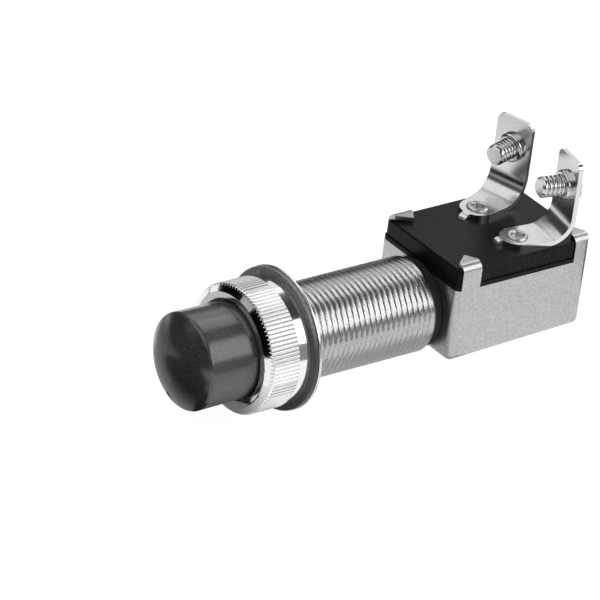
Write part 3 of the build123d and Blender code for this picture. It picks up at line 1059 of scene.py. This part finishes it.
def set_cards():
    """Cards from dark to white that only reflections show, lying round the switch or standing; the shadow
    sheets among them are painted shadow of the switch on the floor.
    """
    dark = card_cloth("dark_card", 0.0)
    dusk = card_cloth("dusk_card", 0.15)
    shade = card_cloth("shade_card", 0.28)
    grey_cloth = card_cloth("grey_card", 0.45)
    pale = card_cloth("pale_card", 0.6)
    white = card_cloth("white_card", 0.95)
    # painted shadow: grey fading to white, the soft shadow under the bezel
    shadow_fade = card_cloth("shadow_fade_card", 0.9, across=(2.0 * MM, 13.5 * MM))
    fading = card_cloth("fading_card", 0.6, across=(-5.0 * MM, 2.5 * MM))
    flat = (0, 0, 0)
    slanted = (0, 0, radians(115))
    front = (pi / 2, 0, 0)
    side = (0, pi / 2, 0)
    ground = cad_low.z
    lowest = ground + 0.5 * MM
    lower = ground + 0.8 * MM
    upper = ground + 0.9 * MM
    highest = ground + 1.0 * MM
    # Name, width, height, middle, turn and cloth, in metres
    cards = (
        ("front_flag", 0.24, 0.07, (-0.07, -0.09, ground + 0.035), front, dark),
        # painted shadow: dark sheets in front of the button stand in for the switch's shadow on the floor,
        # seen only in reflections
        ("front_shadow_sheet", 0.037, 0.078, (-0.0075, -0.061, lower), flat, dark),
        ("chin_shadow_sheet", 0.0345, 0.0075, (-0.00875, -0.01825, lower), flat, dark),
        ("brow_sheet", 0.004, 0.065, (0.013, -0.0675, lower), flat, dark),
        ("cheek_sheet", 0.019, 0.012, (-0.0165, -0.021, highest), flat, pale),
        ("jaw_sheet", 0.011, 0.032, (-0.0117, -0.027, upper), slanted, fading),
        ("rim_sheet", 0.016, 0.082, (-0.034, -0.059, lower), flat, pale),
        ("left_sheet", 0.068, 0.082, (-0.076, -0.059, lower), flat, grey_cloth),
        # painted shadow: the switch's soft shadow under the bezel, seen only in reflections
        ("under_shadow_sheet", 0.0275, 0.02, (-0.00025, -0.012, lowest), flat, shadow_fade),
        # painted shadow: the barrel's own shadow on the floor beneath it, seen only in reflections
        ("barrel_shadow_sheet", 0.021, 0.03, (0.0055, 0.02, lowest), flat, pale),
        ("back_sheet", 0.045, 0.034, (-0.0525, 0.05, lower), flat, dusk),
        ("back_flag", 0.054, 0.062, (-0.1, 0.099, 0.015), side, dusk),
        ("edge_sheet", 0.034, 0.06, (0.022, 0.108, lower), flat, dark),
        ("side_flag", 0.03, 0.04, (0.062, 0.026, ground + 0.015), side, shade),
        ("grey_board", 0.034, 0.03, (-0.042, -0.088, ground + 0.061), front, grey_cloth),
        ("rear_board", 0.067, 0.08, (-0.0785, 0.12, 0.07), front, white),
        ("left_board", 0.09, 0.12, (-0.105, 0.06, 0.1), flat, white),
    )
    for name, width, height, place, turn, material in cards:
        card = panel_mesh(name, width, height)
        card.location = place
        card.rotation_euler = turn
        card.data.materials.append(material)
        card.visible_camera = False
        card.visible_diffuse = False
        card.visible_shadow = False


def set_room(scene, settings):
    """Dim room with a pale backdrop low behind the switch."""
    backdrop = direction(radians(200), 0.0)
    inner_edge = cos(radians(28))
    outer_edge = cos(radians(37))
    lower_edge = sin(radians(24))
    upper_edge = sin(radians(40))
    world = scene.world or bpy.data.worlds.new("room")
    scene.world = world
    world.use_nodes = True
    room = Nodes(world.node_tree)
    view = room.add("ShaderNodeTexCoord", output="Generated")
    height = room.part(view, "Z")
    behind = room.add(
        "ShaderNodeVectorMath", {"operation": "DOT_PRODUCT"}, {0: view, 1: backdrop}, output="Value"
    )
    level_share = (1 - height * height) ** 0.5
    across = room.fade(behind / level_share, outer_edge, inner_edge)
    low = room.fade(height, lower_edge, upper_edge, start=1.0, end=0.0)
    level = settings.dim_level + (settings.backdrop_level - settings.dim_level) * (across * low)
    background = room.add("ShaderNodeBackground", None, {"Strength": level})
    room.add("ShaderNodeOutputWorld", None, {"Surface": background})


def set_softboxes(settings):
    """Three lamps: a long one on the right, one high behind the case and one above the button."""
    aim = Vector((0, settings.aim_along, 0))
    key = softbox("key_softbox", width=1.2, height=0.38, level=settings.key_level)
    aim_lamp(key, aim, azimuth=radians(134), elevation=radians(30), distance=0.6)
    top = softbox("top_softbox", width=0.52, height=0.55, level=settings.top_level)
    top.location = (-0.29, 0.655, 0.6)
    fill = softbox("fill_softbox", width=0.8, height=0.5, level=settings.fill_level)
    aim_lamp(fill, aim, azimuth=radians(-10), elevation=radians(62), distance=0.6)


def softbox(name, width, height, level):
    """Rectangular lamp of a given brightness, facing down until it is aimed."""
    lamp = bpy.data.lights.new(name, "AREA")
    lamp.shape = "RECTANGLE"
    lamp.size = width
    lamp.size_y = height
    lamp.energy = level * pi * width * height
    box = bpy.data.objects.new(name, lamp)
    bpy.context.scene.collection.objects.link(box)
    return box


def aim_lamp(box, aim, azimuth, elevation, distance):
    """Puts a lamp round the switch and turns it to a point."""
    away = direction(azimuth, elevation)
    box.location = aim + away * distance
    box.rotation_mode = "QUATERNION"
    box.rotation_quaternion = away.to_track_quat("Z", "Y")


def set_camera(settings):
    """Camera round the switch, rolled, and swung so that its aim lies where the picture has it."""
    lens = bpy.data.cameras.new("camera")
    lens.angle = settings.field_of_view
    camera = bpy.data.objects.new("camera", lens)
    bpy.context.scene.collection.objects.link(camera)
    back = direction(settings.azimuth, settings.elevation)
    right = Vector((cos(settings.azimuth), sin(settings.azimuth), 0))
    up = back.cross(right)
    turn = Matrix((right, up, back)).transposed() @ Matrix.Rotation(settings.roll, 3, "Z")
    width = 2 * tan(settings.field_of_view / 2)
    across = (settings.picture_offset_x - 0.5) * width
    down = (settings.picture_offset_y - 0.5) * width
    swing_round = Matrix.Rotation(across, 3, "Y") @ Matrix.Rotation(down, 3, "X")
    place = (turn @ swing_round).to_4x4()
    place.translation = Vector((0, settings.aim_along, 0)) + back * settings.distance
    camera.matrix_world = place
    return camera


class SWITCH_PT_panel(bpy.types.Panel):
    """Steps of dressing the switch"""

    bl_idname = "SWITCH_PT_panel"
    bl_label = "Push Button Switch"
    bl_space_type = "VIEW_3D"
    bl_region_type = "UI"
    bl_category = "Switch"

    def draw(self, context):
        for step in STEPS:
            self.layout.operator(step.bl_idname)


STEPS = (
    SWITCH_OT_barrel, SWITCH_OT_bezel, SWITCH_OT_rings, SWITCH_OT_boot, SWITCH_OT_case,
    SWITCH_OT_board, SWITCH_OT_terminals, SWITCH_OT_screws, SWITCH_OT_mechanism, SWITCH_OT_stage,
)
CLASSES = (SwitchSizes, SwitchColours, StudioSettings) + STEPS + (SWITCH_PT_panel,)


def register():
    """Adds the classes and the scene's properties."""
    for item in CLASSES:
        bpy.utils.register_class(item)
    bpy.types.Scene.switch_sizes = bpy.props.PointerProperty(type=SwitchSizes)
    bpy.types.Scene.switch_colours = bpy.props.PointerProperty(type=SwitchColours)
    bpy.types.Scene.switch_studio = bpy.props.PointerProperty(type=StudioSettings)


def unregister():
    """Takes the scene's properties and the classes away."""
    del bpy.types.Scene.switch_sizes
    del bpy.types.Scene.switch_colours
    del bpy.types.Scene.switch_studio
    for item in reversed(CLASSES):
        bpy.utils.unregister_class(item)


def main():
    """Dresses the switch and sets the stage."""
    register()
    bpy.ops.switch.barrel()
    bpy.ops.switch.bezel()
    bpy.ops.switch.rings()
    bpy.ops.switch.boot()
    bpy.ops.switch.case()
    bpy.ops.switch.board()
    bpy.ops.switch.terminals()
    bpy.ops.switch.screws()
    bpy.ops.switch.mechanism()
    bpy.ops.switch.stage()


if __name__ == "__main__":
    main()
